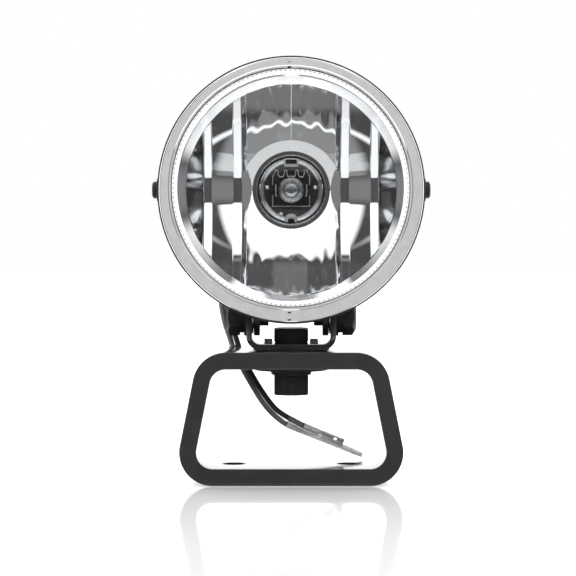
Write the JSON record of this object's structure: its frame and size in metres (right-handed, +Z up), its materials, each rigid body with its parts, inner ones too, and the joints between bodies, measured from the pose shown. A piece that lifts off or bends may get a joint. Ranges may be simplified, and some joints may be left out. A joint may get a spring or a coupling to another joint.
{
  "type": "fog light",
  "caption": "Round clear-lens fog lamp tilting in a U yoke that swivels on a closed trapezoid loop bracket, with short pigtail leads ending in a sleeved and an open spade terminal",
  "frame": {"origin": "on the underside of the loop bracket, midway between its two base bolt holes, which is under the swivel bolt", "axes": "+Z up, the lamp faces -Y, +X is to the right as seen from the front"},
  "size_m": [0.137, 0.0889, 0.2114],
  "materials": {
    "black_paint": "glossy black enamel over steel",
    "black_steel": "black zinc, slightly oily",
    "black_plastic": "moulded black with a fine texture",
    "rubber": "matt black rubber",
    "nylon": "blue nylon",
    "satin_metal": "satin ring with a polished edge",
    "clear_glass": "clear, polished",
    "mirror_coat": "vacuum-metallised mirror",
    "bright_steel": "bright pressed steel",
    "brass": "plain brass",
    "grey_pvc": "grey PVC insulation",
    "black_pvc": "black PVC insulation",
    "clear_pvc": "clear milky PVC sleeve"
  },
  "bodies": {
    "base": {"loop_bracket": "black_paint", "swivel_pad": "rubber", "lower_pad": "rubber", "lead_grey": "grey_pvc", "lead_black": "black_pvc", "cable_tie": "grey_pvc", "black_sleeve": "clear_pvc", "spade_terminal": "bright_steel", "grey_sleeve": "clear_pvc", "grey_terminal": "bright_steel"},
    "yoke": {"yoke": "black_paint", "swivel_bolt": "black_steel", "head_washer": "black_steel", "flange_washer": "black_steel", "lock_nut": "black_steel", "nylon_ring": "nylon", "lead_grey_upper": "grey_pvc", "lead_black_upper": "black_pvc"},
    "head": {"housing": "black_plastic", "housing_ears": "black_plastic", "bezel": "satin_metal", "bezel_screws": "black_steel", "lens": "clear_glass", "lens_gasket": "rubber", "reflector": "mirror_coat", "carrier_ring": "bright_steel", "bulb_carrier": "black_paint", "bulb_plate": "bright_steel", "plate_rivets": "bright_steel", "bulb_base": "brass", "bulb_glass": "clear_glass", "filament": "bright_steel", "bulb_clip": "bright_steel", "bulb_contact": "black_plastic", "feed_wires": "grey_pvc", "rear_cover": "black_plastic", "cover_seal": "rubber", "lead_grommet": "rubber", "ear_inserts": "bright_steel", "friction_washers": "bright_steel", "pivot_washers": "black_steel", "pivot_spring_washers": "black_steel", "pivot_bolts": "black_steel"}
  },
  "joints": [
    {"name": "swivel", "type": "hinge", "parent": "base", "child": "yoke", "pos_m": [0, 0, 0.06635], "axis": [0, 0, 1], "range_deg": [-30, 30], "deforming": ["lead_grey", "lead_black"]},
    {"name": "tilt", "type": "hinge", "parent": "yoke", "child": "head", "pos_m": [0, 0, 0.0827], "axis": [-1, 0, 0], "range_deg": [-20, 35], "deforming": ["lead_grey_upper", "lead_black_upper"]}
  ]
}
